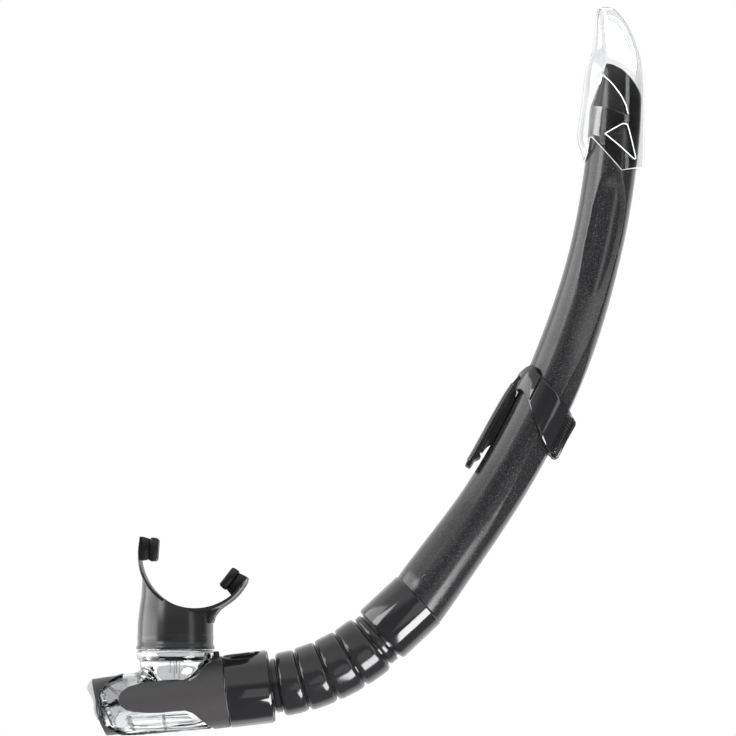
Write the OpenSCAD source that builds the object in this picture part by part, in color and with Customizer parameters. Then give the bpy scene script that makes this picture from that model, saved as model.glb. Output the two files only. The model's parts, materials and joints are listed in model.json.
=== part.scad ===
// Snorkel tube with a splash guard, a flexible hose and a purge base.
// Row frame: +Z up, +X towards the barrel's outer side, the tube bends in the XZ plane.
// The origin is the middle of the strap slot, where the mask strap holds the snorkel.

/* [Barrel] */
// Outside diameter of the barrel
barrel_d = 27.4; // [26:0.1:28]
// Wall thickness of the barrel
barrel_wall = 2; // [1.6:0.1:2.4]
// Radius of the arc that the barrel's centreline follows
barrel_arc_r = 398; // [380:1:420]
// Degrees from the barrel's upright top to the start of its straight foot
barrel_turn = 36; // [34:0.5:38]
// Length of the straight foot, down to the hose joint
foot_l = 40.5; // [38:0.5:43]
// Outside diameter of the foot at the hose joint
foot_d = 30.6; // [29.5:0.1:31]

/* [Splash guard] */
// Wall thickness of the clear guard
guard_wall = 1.4; // [1.2:0.1:1.6]

/* [Keeper] */
// Degrees along the barrel's arc to the middle of the keeper ring
keeper_at = 25.6; // [24:0.2:27]
// Wall thickness of the keeper ring
keeper_wall = 2; // [1.8:0.1:2.2]
// Clearance between the keeper ring and the barrel
keeper_gap = 0.3; // [0.25:0.05:0.35]
// Width of the strap clip across the barrel
clip_w = 12; // [10:0.5:14]
// Gap for the mask strap between the clip and the barrel
strap_gap = 3.4; // [3:0.1:4]

/* [Hose] */
// Outside diameter of the hose ribs
rib_d = 31; // [30:0.2:32]
// Outside diameter of the hose in its grooves
groove_d = 25.6; // [25:0.1:26.5]
// Bore of the hose
hose_bore = 21; // [20:0.2:22]
// Radius of the arc that the hose's centreline follows
hose_arc_r = 97.6; // [92:0.2:104]
// Elevation of the collar's axis in degrees
collar_angle = 43; // [41:0.5:45]
// Elevation of the base's axis in degrees
base_angle = 7; // [5:0.5:9]

/* [Collars] */
// Outside diameter of the upper collar
collar_d = 31.5; // [31:0.1:32]
// Length of the upper collar
collar_l = 25.3; // [24:0.1:27]
// Outside diameter of the lower cuff
cuff_d = 36; // [35:0.1:37]
// Length of the lower cuff
cuff_l = 22.2; // [21:0.1:24]

/* [Base] */
// Outside diameter of the clear base at its purge end
base_end_d = 28.6; // [28.2:0.1:29]
// Outside diameter of the clear base under the tongue cover
base_root_d = 32.4; // [32:0.1:32.8]
// Wall thickness of the clear base
base_wall = 1.7; // [1.5:0.1:2]
// Distance from the mouthpiece axis to the cuff seam
seam_x = 25.8; // [25:0.2:27]
// Outside diameter of the rim under the mouthpiece
rim_d = 38.5; // [38:0.1:39]
// Height of the rim's top above the base's axis
rim_top = 23.7; // [23:0.1:24.5]

/* [Purge valve] */
// Elevation of the purge face below level in degrees
purge_angle = 21.8; // [19:0.2:24]
// Diameter of the valve disc
valve_d = 19; // [18:0.2:20]
// Diameter of the valve stem
stem_d = 2.6; // [2.4:0.1:3]

/* [Mouthpiece] */
// Outside diameter of the mouthpiece's neck
neck_d = 37.5; // [37:0.1:38]
// Mid-wall radius of the curved bite flange
flange_r = 28.3; // [27.5:0.1:29]
// Height of the bite flange, across the snorkel
flange_h = 33; // [30:0.5:36]
// Angle that the flange leans from upright
flange_lean = 21; // [18:0.5:24]

/* [Hidden] */
$fn = 96;

// Colours
charcoal = [0.27, 0.27, 0.28];
gloss_black = [0.1, 0.1, 0.11];
matt_grey = [0.22, 0.21, 0.22];
clear = [0.85, 0.88, 0.9, 0.35];
silicone_black = [0.07, 0.07, 0.075];
silver = [0.78, 0.79, 0.8];

// A cut deep enough to leave any piece, and the small overlap that makes a cut clean
far = 60;
eps = 0.02;
// Running fit between pieces that turn on each other, and slack between assembled pieces
run_fit = 0.06;
slack = 0.05;
// Step between a curved and a straight length of tube, so that their walls cross cleanly
step = 0.12;

barrel_r = barrel_d / 2;
bore_r = barrel_r - barrel_wall;

// The strap slot's middle in the keeper's own frame, and so the arc's centre in the row frame
ring_in_r = barrel_r + keeper_gap;
ring_out_r = ring_in_r + keeper_wall;
slot_r = barrel_arc_r - barrel_r - strap_gap / 2;
slot_down = 16;
arc_x = -slot_r * cos(keeper_at) + slot_down * sin(keeper_at);
arc_z = slot_r * sin(keeper_at) + slot_down * cos(keeper_at);

// The joint between the barrel's foot and the collar
joint_x = arc_x + barrel_arc_r * cos(barrel_turn) - foot_l * sin(barrel_turn);
joint_z = arc_z - barrel_arc_r * sin(barrel_turn) - foot_l * cos(barrel_turn);
// The two ends of the bending part of the hose, and the centre of its arc
hose_top_x = joint_x - collar_l * cos(collar_angle);
hose_top_z = joint_z - collar_l * sin(collar_angle);
hose_arc_x = hose_top_x - hose_arc_r * sin(collar_angle);
hose_arc_z = hose_top_z + hose_arc_r * cos(collar_angle);
hose_turn = collar_angle - base_angle;
hose_end_x = hose_arc_x + hose_arc_r * sin(base_angle);
hose_end_z = hose_arc_z - hose_arc_r * cos(base_angle);
// The point where the mouthpiece's axis crosses the base's axis
seam_reach = cuff_l + seam_x;
base_x = hose_end_x - seam_reach * cos(base_angle);
base_z = hose_end_z - seam_reach * sin(base_angle);

// Radii of the pieces inside the collars, from the inside out
spigot_bore_r = hose_bore / 2 + 0.4;
spigot_r = 12.5;
spigot_l = 19;
sleeve_r = 14.2;
tail_bore_r = 11;
tail_r = 13.4;
tail_l = 10.8;

// The base's profile, in its own frame: x along its axis towards the hose
base_in_r = base_end_d / 2 - base_wall;
cover_x = -22.7;
cover_z = -0.5;
cover_r = 15.3;
face_x = -39.5;
tongue_wall = 1.4;
// The purge seat's sleeve, inside the base and the cover
seat_r = base_in_r - slack;
seat_wall = 0.9;
seat_x = -32.4;
seat_t = 1.6;
valve_t = 0.8;

// The mouthpiece's flange, from the point where the two axes cross
flange_x = 10.25;
flange_z = 72.05;
flange_t = 2;
lug_angle = 20;
neck_bore_r = 16.4;

// Places children at angle a along the barrel's arc, z up the barrel and x outwards
module on_arc(a) {
    translate([arc_x, 0, arc_z]) rotate([0, a, 0]) translate([barrel_arc_r, 0, 0]) children();
}

// Places children at the hose joint, z up the collar's axis
module at_joint() {
    translate([joint_x, 0, joint_z]) rotate([0, 90 - collar_angle, 0]) children();
}

// Places children in the base's frame, x along its axis towards the hose
module in_base() {
    translate([base_x, 0, base_z]) rotate([0, -base_angle, 0]) children();
}

// Places children on the mouthpiece's upright axis, z = 0 at the base's axis
module on_neck() {
    translate([base_x, 0, base_z]) children();
}

// Places children at x in the base's frame, z out of the snorkel along the valve's stem
module facing_out(x) {
    translate([x, 0, 0]) rotate([0, base_angle - 90 - purge_angle, 0]) children();
}

// A piece of a round rod of radius r on the barrel's arc, from angle a to angle b
module arc_rod(r, a, b) {
    translate([arc_x, 0, arc_z]) rotate([90, 0, 0]) rotate([0, 0, -b])
        rotate_extrude(angle = b - a) translate([barrel_arc_r, 0]) circle(r = r);
}

// A piece of a round rod of radius r on the hose's arc, from the cuff's end upwards
module hose_rod(r, turn) {
    translate([hose_arc_x, 0, hose_arc_z]) rotate([90, 0, 0]) rotate([0, 0, base_angle - 90])
        rotate_extrude(angle = turn) translate([hose_arc_r, 0]) circle(r = r);
}

// Places children at distance s along the hose from the cuff's end, z towards the barrel
module on_hose(s) {
    a = base_angle + s / hose_arc_r * 180 / PI;
    translate([hose_arc_x + hose_arc_r * sin(a), 0, hose_arc_z - hose_arc_r * cos(a)])
        rotate([0, 90 - a, 0]) children();
}

// Turns a profile of [x, radius] points into a solid round the base's axis
module base_turned(profile) {
    rotate([0, 90, 0]) rotate_extrude() polygon([for (p = profile) [p[1], p[0]]]);
}

// A round hole or rod across the snorkel at x, z
module cross_rod(r, x, z, l = far) {
    translate([x, 0, z]) rotate([90, 0, 0]) cylinder(r = r, h = l, center = true);
}

// An outline in the XZ plane made into a bar across the snorkel
module cross_bar(points, l = far) {
    rotate([90, 0, 0]) linear_extrude(height = l, center = true) polygon(points);
}

// Moves children to the arc's upright point, keeping the row's directions
module at_top() {
    translate([arc_x + barrel_arc_r, 0, arc_z]) children();
}

// Points of a round arc in a plane
function round_arc(x, z, r, a, b, n) = [for (i = [0:n])
    let (t = a + (b - a) * i / n) [x + r * cos(t), z + r * sin(t)]];

// ---- Barrel ----------------------------------------------------------------

// Everything above the barrel's pointed mouth
module mouth_cut() {
    at_top() cross_bar(concat(
        [[-30, -22.5], [-13.6, -22.5], [-8.2, -7.5], [-5.5, 1]],
        round_arc(-7, -20.5, 21.5, 86, 8, 12),
        [[30, -17.5], [30, 40], [-30, 40]]));
}

// The cone of the foot, a hair proud of the arc where the two meet
module foot_outside() {
    on_arc(barrel_turn) translate([0, 0, -foot_l - 8])
        cylinder(r1 = foot_d / 2 + 0.3, r2 = barrel_r + step, h = foot_l + 9);
}

module barrel() {
    color(charcoal) difference() {
        union() {
            arc_rod(barrel_r, -1, barrel_turn);
            difference() {
                foot_outside();
                at_joint() translate([0, 0, -far / 2]) cube([far, far, far], center = true);
            }
            at_joint() translate([0, 0, -spigot_l]) cylinder(r = spigot_r, h = spigot_l + 3);
        }
        arc_rod(bore_r, -2, barrel_turn);
        on_arc(barrel_turn) translate([0, 0, -foot_l]) cylinder(r = bore_r + step, h = foot_l + 1);
        at_joint() translate([0, 0, -spigot_l - 1]) cylinder(r = spigot_bore_r, h = spigot_l + 5);
        mouth_cut();
    }
}

// ---- Splash guard ----------------------------------------------------------

// Sections of the guard's outside from its skirt to its tip: height, left, right, half depth
guard_sections = [
    [-53, -16, 13.6, 14.9], [-47, -16.6, 13.8, 15], [-40.5, -18.8, 14, 15.1],
    [-34.5, -19.8, 14.2, 15.2], [-27, -18, 14.4, 15.2], [-20, -16.8, 14.5, 15.2],
    [-10, -16.2, 14.5, 15], [-2.5, -15.6, 14.2, 14.6], [5, -14, 13.2, 13.4],
    [12, -12, 11.2, 11.6], [19, -10.9, 8.6, 9], [25, -10.3, 5.4, 6],
    [29, -9.2, 2.4, 3.6], [31.2, -7, -1.6, 1.6]];

// A closed skin through the sections, drawn in by inset all round
module guard_skin(inset) {
    n = 24;
    rows = len(guard_sections);
    points = [for (s = guard_sections, i = [0:n - 1])
        let (t = 360 * i / n, mid = (s[1] + s[2]) / 2, half = (s[2] - s[1]) / 2)
        [mid + max(half - inset, 0.3) * cos(t), max(s[3] - inset, 0.3) * sin(t), s[0]]];
    sides = [for (k = [0:rows - 2], i = [0:n - 1])
        let (a = k * n + i, b = k * n + (i + 1) % n) [a, a + n, b + n, b]];
    caps = [[for (i = [0:n - 1]) i], [for (i = [n - 1:-1:0]) (rows - 1) * n + i]];
    polyhedron(points, concat(sides, caps));
}

module guard_windows() {
    // The large side opening under the hood
    cross_bar(concat([[3.3, 5.5], [-4, 19], [-3.4, 24.5]], round_arc(-12.5, 3, 24.6, 56, 12, 6),
        [[12.8, -1.4]]));
    // The vent beside the barrel's mouth
    cross_bar(concat([[-8, -3.2]], round_arc(-19, -29.5, 28.8, 62, 20, 6), [[-13.8, -18.4]]));
    // The drain below it
    cross_bar([[-6.8, -32.4], [1.8, -27.6], [4.3, -29.4], [8.2, -44.6]]);
}

// The zigzag lower edge of the skirt
module skirt_cut() {
    cross_bar([[-30, -48.4], [-16.2, -48.4], [-13.4, -35.8], [1.8, -53.1], [11.4, -50],
        [30, -48], [30, -80], [-30, -80]]);
}

module splash_guard() {
    color(clear) difference() {
        at_top() difference() {
            guard_skin(0);
            guard_skin(guard_wall);
            guard_windows();
            skirt_cut();
        }
        arc_rod(barrel_r + slack, -0.2, 10);
    }
}

// ---- Keeper ----------------------------------------------------------------

// The diagonal outline of the ring, seen along Y in the keeper's frame
ring_outline = [[-20, 10], [-17, 12.4], [-13.4, 18], [17.8, 3.4], [20, 2], [20, -18.5], [14.2, -18],
    [6.2, -12.8], [-1.5, -6], [-9.9, 2.4], [-14, 4.6], [-20, 4.6]];
clip_pin_x = -15.7;
clip_pin_z = 9;
clip_pin_r = 0.7;
clip_eye_r = 1.5;
// The clip's outline, from its eye down the outer face to the tip and up the inner face
clip_outer = [[-17, 10.4], [-18.4, 5], [-19.6, -4], [-20.3, -15], [-20.8, -24], [-21.4, -34], [-22, -41]];
clip_inner = [[-18.8, -41.8], [-18.1, -36.4], [-16.4, -34.8], [-17.9, -32.4], [-17.6, -24],
    [-13.75 - strap_gap, -slot_down], [-16.6, -4], [-15, 7]];
grip_l = 22.4;
grip_w = 14;

// The clip's eye, or room for it when grown
module clip_eye(grow = 0) {
    cross_rod(clip_eye_r + grow, clip_pin_x, clip_pin_z, clip_w + 2 * grow);
}

module keeper_ring() {
    color(gloss_black) difference() {
        intersection() {
            union() {
                arc_rod(ring_out_r, keeper_at - 5, keeper_at + 5);
                // Grip pad on the outer side, and the cheeks that hold the clip's pin
                on_arc(keeper_at) translate([ring_out_r - 1.6, -grip_w / 2, -19.6])
                    cube([4.2, grip_w, grip_l]);
                on_arc(keeper_at) translate([-17.4, -clip_w / 2 - 2.2, 4.6])
                    cube([7, clip_w + 4.4, 9.4]);
            }
            on_arc(keeper_at) cross_bar(ring_outline);
        }
        arc_rod(ring_in_r, keeper_at - 6, keeper_at + 6);
        // Room for the clip's eye between the cheeks, open below
        on_arc(keeper_at) translate([-far, -clip_w / 2 - keeper_gap, clip_pin_z - far])
            cube([far - 9, clip_w + 2 * keeper_gap, far]);
        on_arc(keeper_at) clip_eye(keeper_gap);
        on_arc(keeper_at) translate([-far, -clip_w / 2 - keeper_gap, 0])
            cube([far + clip_pin_x, clip_w + 2 * keeper_gap, clip_pin_z + clip_eye_r + keeper_gap]);
        // Grooves of the grip pad
        for (i = [0:9]) on_arc(keeper_at)
            cross_rod(0.5, ring_out_r + 2.6, -18 + i * 2.1, grip_w + 2);
    }
    color(gloss_black) on_arc(keeper_at) cross_rod(clip_pin_r, clip_pin_x, clip_pin_z, clip_w + 3.4);
}

module strap_clip() {
    color(gloss_black) on_arc(keeper_at) difference() {
        union() {
            clip_eye();
            cross_bar(concat(clip_outer, clip_inner), clip_w);
        }
        cross_rod(clip_pin_r + run_fit, clip_pin_x, clip_pin_z, clip_w + 2);
        // Fine grip grooves down the outer face
        for (i = [0:10]) cross_rod(0.45, -20.55 - i * 0.135, -17 - i * 2.2, clip_w + 2);
    }
}

// ---- Hose and its collars ---------------------------------------------------

module hose_collar() {
    color(gloss_black) at_joint() difference() {
        translate([0, 0, -collar_l]) cylinder(d = collar_d, h = collar_l - slack);
        translate([0, 0, -collar_l - 1]) cylinder(r = sleeve_r + slack, h = collar_l - 1.4);
        translate([0, 0, -3]) cylinder(r = spigot_r + slack, h = 4);
    }
}

rib_l = 11.6;
rib_at = [9.8, 22, 35, 48.2];

// One hose rib: rounded crest, steep lower side and a longer slope towards the barrel
module rib() {
    r = rib_d / 2;
    h = rib_l / 2;
    root = hose_bore / 2 + 1;
    rotate_extrude() polygon([[root, -h], [r - 0.9, 1 - h], [r - 0.2, 2.2 - h], [r, 4 - h],
        [r, h - 4], [r - 0.5, h - 2.2], [r - 1.6, h - 0.9], [root, h]]);
}

module hose() {
    color(gloss_black) difference() {
        union() {
            hose_rod(groove_d / 2, hose_turn);
            for (s = rib_at) on_hose(s) rib();
            // Beads next to the collar and the cuff
            on_hose(hose_arc_r * hose_turn * PI / 180 - 4.2) cylinder(r = sleeve_r, h = 2.6);
            on_hose(1.2) cylinder(r = sleeve_r - 0.9, h = 2);
            // Sleeves inside the collar and the cuff
            at_joint() translate([0, 0, -collar_l - 0.5]) cylinder(r = sleeve_r, h = collar_l - 2.7);
            in_base() translate([seam_x + tail_l + 0.4, 0, 0]) rotate([0, 90, 0])
                cylinder(r = sleeve_r, h = cuff_l - tail_l + 0.1);
        }
        hose_rod(hose_bore / 2, hose_turn);
        at_joint() translate([0, 0, -collar_l - 1]) cylinder(r = hose_bore / 2 + step, h = far);
        at_joint() translate([0, 0, -spigot_l - 0.3]) cylinder(r = spigot_r + slack, h = far);
        in_base() translate([seam_x, 0, 0]) rotate([0, 90, 0])
            cylinder(r = hose_bore / 2 + step, h = cuff_l + 1);
    }
}

module hose_cuff() {
    color(gloss_black) in_base() difference() {
        translate([seam_x + 0.15, 0, 0]) rotate([0, 90, 0]) cylinder(d = cuff_d, h = cuff_l - 0.15);
        translate([seam_x - 1, 0, 0]) rotate([0, 90, 0])
            cylinder(r = tail_r + run_fit, h = cuff_l + 2);
        translate([seam_x + tail_l + 0.3, 0, 0]) rotate([0, 90, 0])
            cylinder(r = sleeve_r + 0.3, h = cuff_l);
        // Groove for the snap bead of the tail
        translate([seam_x + tail_l - 3, 0, 0]) rotate([0, 90, 0])
            cylinder(r = tail_r + 0.6, h = 2.2);
        // Thumb recess on the top
        translate([seam_x + 10, 0, cuff_d / 2 + 18.2]) sphere(r = 20.4);
    }
}

module swivel_seal() {
    color(silicone_black) in_base() translate([seam_x + 3.1, 0, 0]) rotate([0, 90, 0])
        rotate_extrude() translate([tail_r - 0.85, 0]) circle(r = 0.8);
}

// ---- Base ------------------------------------------------------------------

// The outside of the base round its axis, from the purge end to the cuff seam
module base_outside(grow = 0) {
    base_turned([[-46, 0], [-46, base_end_d / 2 - 0.4 + grow], [-38, base_end_d / 2 + grow],
        [-22, base_end_d / 2 + 0.3 + grow], [0, 15.2 + grow], [14, base_root_d / 2 + grow],
        [seam_x, base_root_d / 2 + grow], [seam_x, 0]]);
}

// The half of space beyond the slanted purge face, moved in by depth
module beyond_face(depth = 0) {
    facing_out(face_x) translate([0, 0, far - depth]) cube([2 * far, 2 * far, 2 * far], center = true);
}

// The rounded end of the clear base: everything on the cover's side of it
module cover_side(grow = 0) {
    difference() {
        translate([cover_x - far, -far / 2, cover_z - far / 2]) cube([far, far, far]);
        cross_rod(cover_r + grow, cover_x, cover_z, 2 * far);
    }
}

module base_body() {
    color(clear) difference() {
        union() {
            in_base() difference() {
                base_outside();
                cover_side();
            }
            // Tail for the cuff, with its snap bead
            in_base() rotate([0, 90, 0]) translate([0, 0, seam_x - 1]) cylinder(r = tail_r, h = tail_l + 1);
            in_base() translate([seam_x + tail_l - 2.4, 0, 0]) rotate([0, 90, 0])
                cylinder(r = tail_r + 0.4, h = 1);
            // Neck, rim and the spigot for the mouthpiece
            on_neck() translate([0, 0, 3]) cylinder(r1 = 14.4, r2 = 17.7, h = 11);
            on_neck() translate([0, 0, 14 - eps]) cylinder(r = 17.7, h = rim_top - 14);
            on_neck() translate([0, 0, rim_top - 4.6]) cylinder(d = rim_d, h = 4.6);
            on_neck() translate([0, 0, rim_top - eps]) cylinder(r = neck_bore_r - 0.1, h = 10);
            // Stiffening ribs under the body
            in_base() translate([-10.6, -10, -16.2]) cube([1.6, 20, 5]);
            in_base() cross_bar([[-27, -14.6], [16, -17.2], [16, -12], [-27, -12]], 1.6);
        }
        in_base() base_turned([[-50, 0], [-50, base_in_r], [10, base_in_r], [16, tail_bore_r],
            [seam_x + far, tail_bore_r], [seam_x + far, 0]]);
        on_neck() cylinder(r = base_in_r - 0.6, h = 12);
        on_neck() translate([0, 0, 11]) cylinder(r = 14.6, h = far);
        // Groove for the swivel seal
        in_base() translate([seam_x + 2.2, 0, 0]) rotate([0, 90, 0]) difference() {
            cylinder(r = tail_r + 2, h = 1.8);
            cylinder(r = tail_r - 1.7, h = 1.8);
        }
    }
}

// Half of the tongue's outline on the base's side, from its round tip to the full ring
tongue_mid_z = 0.8;
tongue_half = [[-28.6, 0], [-28, 2.4], [-25.4, 4.9], [-20, 7], [-12, 7.9], [-5, 7.9], [2, 7.4],
    [6, 7.6], [9.6, 9.2], [13, 12.6], [16, 16], [18.4, 19.4]];

module tongue_cover() {
    outline = concat(tongue_half, [[seam_x - 0.15, 24], [seam_x - 0.15, -24]],
        [for (i = [len(tongue_half) - 1:-1:1]) [tongue_half[i][0], -tongue_half[i][1]]]);
    color(matt_grey) difference() {
        in_base() intersection() {
            difference() {
                base_outside(tongue_wall);
                base_outside(slack);
            }
            translate([0, 0, tongue_mid_z]) cross_bar(outline);
        }
        on_neck() cylinder(r = rim_d / 2 + slack, h = far);
    }
    // Locating lug beside the mouthpiece rim
    color(matt_grey) in_base() translate([21.8, -1.8, base_root_d / 2 + tongue_wall - 0.4])
        cube([3.2, 3.6, 3]);
}

// ---- Purge valve -----------------------------------------------------------

module purge_seat() {
    color(clear) in_base() difference() {
        intersection() {
            base_turned([[-37, 0], [-37, seat_r], [-22, seat_r], [-22, 0]]);
            facing_out(seat_x) translate([0, 0, -far + seat_t]) cube([far, far, 2 * far], center = true);
        }
        // Hollow behind the seat
        difference() {
            rotate([0, 90, 0]) cylinder(r = seat_r - seat_wall, h = 2 * far, center = true);
            facing_out(seat_x) translate([0, 0, far / 2]) cube([far, far, far], center = true);
        }
        // Round the stem: six windows and the stem's hole
        facing_out(seat_x) for (i = [0:5]) rotate([0, 0, 60 * i + 30]) translate([5.3, 0, -1])
            cylinder(r = 1.9, h = 4);
        facing_out(seat_x) translate([0, 0, -far / 2]) cylinder(d = stem_d + 2 * run_fit, h = far);
    }
}

module purge_valve() {
    color(silicone_black) in_base() facing_out(seat_x) union() {
        translate([0, 0, seat_t + 0.1]) cylinder(d = valve_d, h = valve_t);
        translate([0, 0, -5]) cylinder(d = stem_d, h = seat_t + 5.4);
        // Bead that stops the stem from pulling out
        translate([0, 0, -5]) cylinder(d = stem_d + 1.4, h = 1.6);
    }
}

// The silvered end's outline, seen along Y in the base's frame
rim_outline = [[-39.6, 13.2], [-39.6, 16], [-43.3, 16], [-43.3, 8], [-43.1, 5.2], [-42.4, 2.4], [-41.2, -0.4],
    [-39.4, -3.5], [-38.2, -6.2], [-37.4, -3], [-38.3, 4], [-39, 9]];

// Water slots round the middle of the face
module face_slots() {
    facing_out(face_x) for (i = [0:7]) rotate([0, 0, 45 * i]) translate([5.4, 0, -3.6])
        cylinder(r = 1.5, h = 7.2);
}

module purge_cover() {
    color(matt_grey) in_base() difference() {
        intersection() {
            base_outside();
            cover_side(0.1);
        }
        beyond_face();
        difference() {
            base_turned([[-60, 0], [-60, base_in_r], [-20, base_in_r], [-20, 0]]);
            beyond_face(1.8);
        }
        cross_bar([[-60, 20], [-39.6, 20], [-39.6, 13.2], [-39, 9], [-38.3, 4], [-37.4, -3], [-38.2, -6.2],
            [-60, -6.2]]);
        face_slots();
    }
}

module purge_rim() {
    color(silver) in_base() difference() {
        intersection() {
            base_outside();
            cross_bar(rim_outline);
            cover_side(0.1);
        }
        // The rounded top corner
        translate([-39.3, 0, 14.6]) rotate([0, -53, 0]) translate([-far / 2, -far / 2, 0]) cube(far);
        face_slots();
    }
}

// ---- Mouthpiece ------------------------------------------------------------

// Places children at the centre of the flange's curve, x along its opening's lean
module at_flange() {
    on_neck() translate([flange_x, 0, flange_z]) rotate([0, flange_lean, 0]) children();
}

// One bite lug: a plate inwards from the flange and its bead; a is the lug's angle in the bow
module bite_lug(a) {
    rotate([0, a, 0]) {
        translate([-flange_r - 0.2, -2.6, -5.8]) cube([8.4, 5.2, 11.6]);
        translate([-flange_r + 6.4, -5, -5.5]) cube([4, 10, 11]);
    }
}

module mouthpiece() {
    color(silicone_black) difference() {
        union() {
            // The bow of the flange, 170 degrees round an axis across the snorkel
            at_flange() intersection() {
                difference() {
                    cross_rod(flange_r + flange_t / 2, 0, 0, flange_h);
                    cross_rod(flange_r - flange_t / 2, 0, 0, far);
                }
                cross_bar([[0, 0], [-60, -5.2], [-60, -60], [60, -60], [60, -5.2]]);
            }
            at_flange() bite_lug(-lug_angle);
            at_flange() bite_lug(180 + lug_angle);
            difference() {
                on_neck() translate([0, 0, rim_top + 0.3]) cylinder(d = neck_d, h = 36);
                at_flange() cross_rod(flange_r, 0, 0, 2 * far);
            }
            on_neck() translate([0, 0, rim_top + 0.3]) cylinder(d = neck_d + 1.4, h = 1.5);
        }
        on_neck() translate([0, 0, rim_top - 1]) cylinder(r = neck_bore_r, h = 11.6);
        on_neck() translate([0, 0, rim_top]) cylinder(r = 12, h = 34);
        // Groove for the retaining band
        on_neck() translate([0, 0, rim_top + 4.4]) difference() {
            cylinder(r = neck_d, h = 3);
            cylinder(r = neck_d / 2 - 0.5, h = 3);
        }
    }
}

module mouthpiece_band() {
    color(gloss_black) on_neck() translate([0, 0, rim_top + 4.5]) difference() {
        union() {
            cylinder(d = neck_d + 0.6, h = 2.8);
            translate([-2.2, neck_d / 2 + slack, -0.6]) cube([4.4, 1.7, 4]);
        }
        translate([0, 0, -1]) cylinder(r = neck_d / 2 - 0.45, h = 5);
    }
}

barrel();
splash_guard();
keeper_ring();
strap_clip();
hose_collar();
hose();
hose_cuff();
swivel_seal();
base_body();
tongue_cover();
purge_seat();
purge_valve();
purge_cover();
purge_rim();
mouthpiece();
mouthpiece_band();
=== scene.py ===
import json
from bisect import bisect_right
from math import asin, atan, cos, degrees, pi, radians, sin

import bmesh
import bpy
from mathutils import Matrix, Vector


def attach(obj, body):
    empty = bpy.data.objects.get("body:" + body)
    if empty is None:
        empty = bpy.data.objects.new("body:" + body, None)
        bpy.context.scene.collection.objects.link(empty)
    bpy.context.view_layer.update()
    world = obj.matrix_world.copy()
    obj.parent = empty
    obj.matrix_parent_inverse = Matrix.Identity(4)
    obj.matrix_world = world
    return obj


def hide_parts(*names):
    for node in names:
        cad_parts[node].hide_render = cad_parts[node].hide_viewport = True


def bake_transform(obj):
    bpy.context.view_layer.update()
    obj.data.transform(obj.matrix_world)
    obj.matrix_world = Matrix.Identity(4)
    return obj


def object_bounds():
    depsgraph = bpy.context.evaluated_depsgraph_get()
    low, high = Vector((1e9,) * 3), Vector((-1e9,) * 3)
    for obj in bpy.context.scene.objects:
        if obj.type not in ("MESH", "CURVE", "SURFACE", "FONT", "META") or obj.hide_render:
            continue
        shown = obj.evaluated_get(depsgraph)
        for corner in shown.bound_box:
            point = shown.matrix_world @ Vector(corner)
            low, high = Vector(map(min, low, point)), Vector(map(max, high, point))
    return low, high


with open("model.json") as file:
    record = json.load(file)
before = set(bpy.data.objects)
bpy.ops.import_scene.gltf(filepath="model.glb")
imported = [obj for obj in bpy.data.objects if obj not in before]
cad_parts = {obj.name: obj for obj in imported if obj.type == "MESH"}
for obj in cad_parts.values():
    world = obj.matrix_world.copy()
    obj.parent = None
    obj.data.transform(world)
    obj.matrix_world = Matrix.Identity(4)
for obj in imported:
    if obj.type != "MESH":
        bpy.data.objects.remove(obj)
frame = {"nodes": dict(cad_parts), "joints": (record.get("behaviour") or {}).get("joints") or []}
cad_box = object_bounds()

# ---- Camera --------------------------------------------------------------------
# A long lens in front of the snorkel, a little below its middle, that looks along +Y and
# slightly up.

mm = 0.001
scene = bpy.context.scene
scene.view_settings.view_transform = "Standard"

aim = Vector((-65.1, 0, 28.7)) * mm
view_distance = 1.8
view_rise = radians(-5)
half_view = 184 * mm

lens = bpy.data.cameras.new("camera")
lens.angle = 2 * atan(half_view / view_distance)
lens.clip_start = 0.01
camera = bpy.data.objects.new("camera", lens)
camera.location = aim + view_distance * Vector((0, -cos(view_rise), sin(view_rise)))
camera.rotation_euler = (pi / 2 - view_rise, 0, 0)
scene.collection.objects.link(camera)
scene.camera = camera

# ---- Studio --------------------------------------------------------------------
# A white sweep under and behind the snorkel. The room in front of it is dim, so that
# glossy plastic stays dark there and picks up the soft boxes at its sides.


class Field:
    """A node's output that ordinary arithmetic can be written on."""

    def __init__(self, graph, socket):
        self.graph, self.socket = graph, socket

    def maths(self, operation, first, second):
        return self.graph.node("ShaderNodeMath", {"operation": operation}, [first, second])

    def __add__(self, other):
        return self.maths("ADD", self, other)

    def __sub__(self, other):
        return self.maths("SUBTRACT", self, other)

    def __rsub__(self, other):
        return self.maths("SUBTRACT", other, self)

    def __mul__(self, other):
        return self.maths("MULTIPLY", self, other)

    def top(self, other):
        """The larger of two values."""
        return self.maths("MAXIMUM", self, other)

    def ramp(self, low, high):
        """0 below low, 1 above high, and a smooth step between them."""
        return self.graph.node("ShaderNodeMapRange", {"interpolation_type": "SMOOTHSTEP"},
                               {"Value": self, "From Min": low, "From Max": high})

    __radd__, __rmul__ = __add__, __mul__


class Graph:
    """A material's or the world's node tree, with one way to add a node."""

    def __init__(self, owner):
        owner.use_nodes = True
        self.tree = owner.node_tree
        self.tree.nodes.clear()

    def node(self, kind, settings=None, inputs=(), output=0):
        """Adds a node with settings and with values or links on its inputs, and gives an output."""
        made = self.tree.nodes.new(kind)
        for key, value in (settings or {}).items():
            setattr(made, key, value)
        pairs = inputs.items() if isinstance(inputs, dict) else enumerate(inputs)
        for key, value in pairs:
            if isinstance(value, Field):
                self.tree.links.new(value.socket, made.inputs[key])
            else:
                made.inputs[key].default_value = value
        return Field(self, made.outputs[output]) if made.outputs else made

    def mix(self, share, low, high):
        """Blends two colours."""
        return self.node("ShaderNodeMix", {"data_type": "RGBA"}, {0: share, 6: low, 7: high}, 2)

    def parts(self, vector):
        """The x, y and z of a vector."""
        split = self.node("ShaderNodeSeparateXYZ", inputs=[vector]).socket.node
        return [Field(self, out) for out in split.outputs]


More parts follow.
